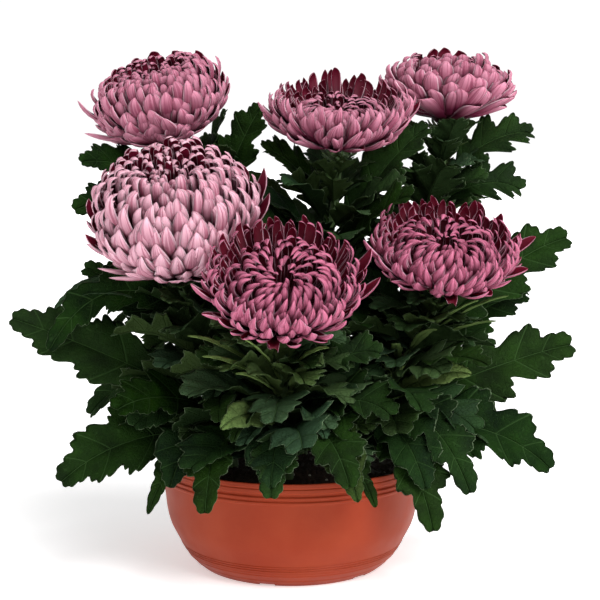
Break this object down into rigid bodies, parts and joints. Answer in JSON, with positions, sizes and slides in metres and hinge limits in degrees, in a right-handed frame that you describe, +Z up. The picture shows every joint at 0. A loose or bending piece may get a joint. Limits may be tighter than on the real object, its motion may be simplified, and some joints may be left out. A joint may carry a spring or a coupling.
{
  "type": "pot chrysanthemum",
  "caption": "Pot chrysanthemum: terracotta-coloured plastic bowl pot of soil with leafy stems and large incurved pink blooms.",
  "frame": {"origin": "middle of the pot's underside, on the surface it stands on", "axes": "+Z up along the pot's axis, -Y towards the front of the plant, +X to its right seen from the front"},
  "size_m": [0.4132, 0.3113, 0.3825],
  "materials": {
    "pot_plastic": "satin",
    "potting_soil": "matte",
    "foliage": "satin",
    "petals": "matte"
  },
  "bodies": {
    "root": {"pot": "pot_plastic", "soil": "potting_soil", "leafy_stem_1": "foliage", "leafy_stem_2": "foliage", "leafy_stem_3": "foliage", "leafy_stem_4": "foliage", "leafy_stem_5": "foliage", "leafy_stem_6": "foliage", "bloom_1": "petals", "bloom_2": "petals", "bloom_3": "petals", "bloom_4": "petals", "bloom_5": "petals", "bloom_6": "petals"}
  },
  "joints": []
}
